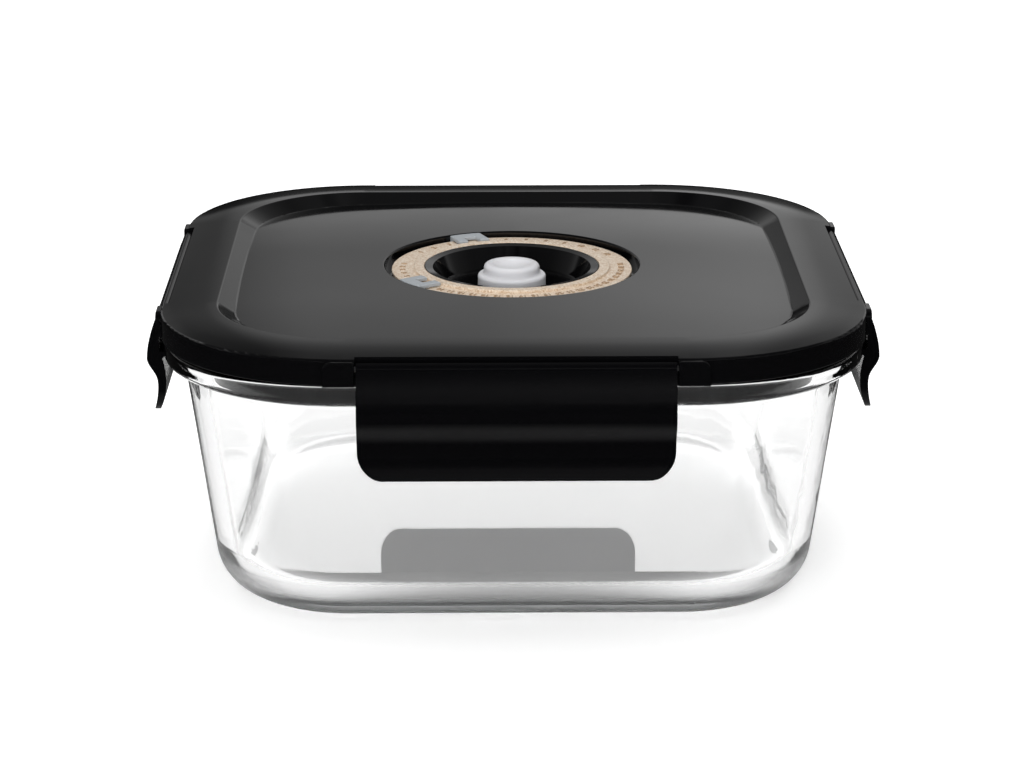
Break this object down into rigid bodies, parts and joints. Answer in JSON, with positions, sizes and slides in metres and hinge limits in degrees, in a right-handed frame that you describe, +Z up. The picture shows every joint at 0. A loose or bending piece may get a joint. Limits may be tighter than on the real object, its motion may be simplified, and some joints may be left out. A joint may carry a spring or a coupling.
{
  "type": "vacuum seal food canister",
  "caption": "Square glass food canister with a latched lid, date dial with sliding pointers, and a release valve in a round pump seat for drawing out the air.",
  "frame": {"origin": "middle of the dish's foot, on the surface that it stands on", "axes": "+Z up through the lid, +X to the right latch, +Y to the back latch"},
  "size_m": [0.172, 0.172, 0.0685],
  "materials": {
    "glass": "pressed clear glass, fire polished",
    "lid_plastic": "moulded black plastic, glossy",
    "latch_plastic": "moulded black plastic, semi gloss",
    "gasket_silicone": "moulded translucent silicone",
    "champagne_ring": "champagne metallic, fine grain",
    "pointer_plastic": "moulded light grey plastic",
    "valve_silicone": "moulded white silicone",
    "pin_steel": "drawn steel wire"
  },
  "bodies": {
    "dish": {"glass_dish": "glass"},
    "lid": {"lid": "lid_plastic", "lid_gasket": "gasket_silicone", "dial_ring": "champagne_ring", "front_hinge_pin": "pin_steel", "back_hinge_pin": "pin_steel", "left_hinge_pin": "pin_steel", "right_hinge_pin": "pin_steel"},
    "front_latch": {"front_latch": "latch_plastic"},
    "back_latch": {"back_latch": "latch_plastic"},
    "left_latch": {"left_latch": "latch_plastic"},
    "right_latch": {"right_latch": "latch_plastic"},
    "month_pointer": {"month_pointer": "pointer_plastic"},
    "day_pointer": {"day_pointer": "pointer_plastic"},
    "valve": {"valve_plug": "valve_silicone"}
  },
  "joints": [
    {"name": "lid_lift", "type": "slide", "parent": "dish", "child": "lid", "axis": [0, 0, 1], "range_m": [0, 0.09]},
    {"name": "front_latch_hinge", "type": "hinge", "parent": "lid", "child": "front_latch", "pos_m": [0, -0.08155, 0.0651], "axis": [-1, 0, 0], "range_deg": [-8, 115]},
    {"name": "back_latch_hinge", "type": "hinge", "parent": "lid", "child": "back_latch", "pos_m": [0, 0.08155, 0.0651], "axis": [1, 0, 0], "range_deg": [-8, 115]},
    {"name": "left_latch_hinge", "type": "hinge", "parent": "lid", "child": "left_latch", "pos_m": [-0.08155, 0, 0.0651], "axis": [0, 1, 0], "range_deg": [-8, 115]},
    {"name": "right_latch_hinge", "type": "hinge", "parent": "lid", "child": "right_latch", "pos_m": [0.08155, 0, 0.0651], "axis": [0, -1, 0], "range_deg": [-8, 115]},
    {"name": "month_slide", "type": "hinge", "parent": "lid", "child": "month_pointer", "pos_m": [0, 0, 0.0667], "axis": [0, 0, 1], "range_deg": [-85, 35]},
    {"name": "day_slide", "type": "hinge", "parent": "lid", "child": "day_pointer", "pos_m": [0, 0, 0.0667], "axis": [0, 0, 1], "range_deg": [-44, 149]},
    {"name": "valve_lift", "type": "slide", "parent": "lid", "child": "valve", "axis": [0, 0, 1], "range_m": [0, 0.0015]}
  ]
}
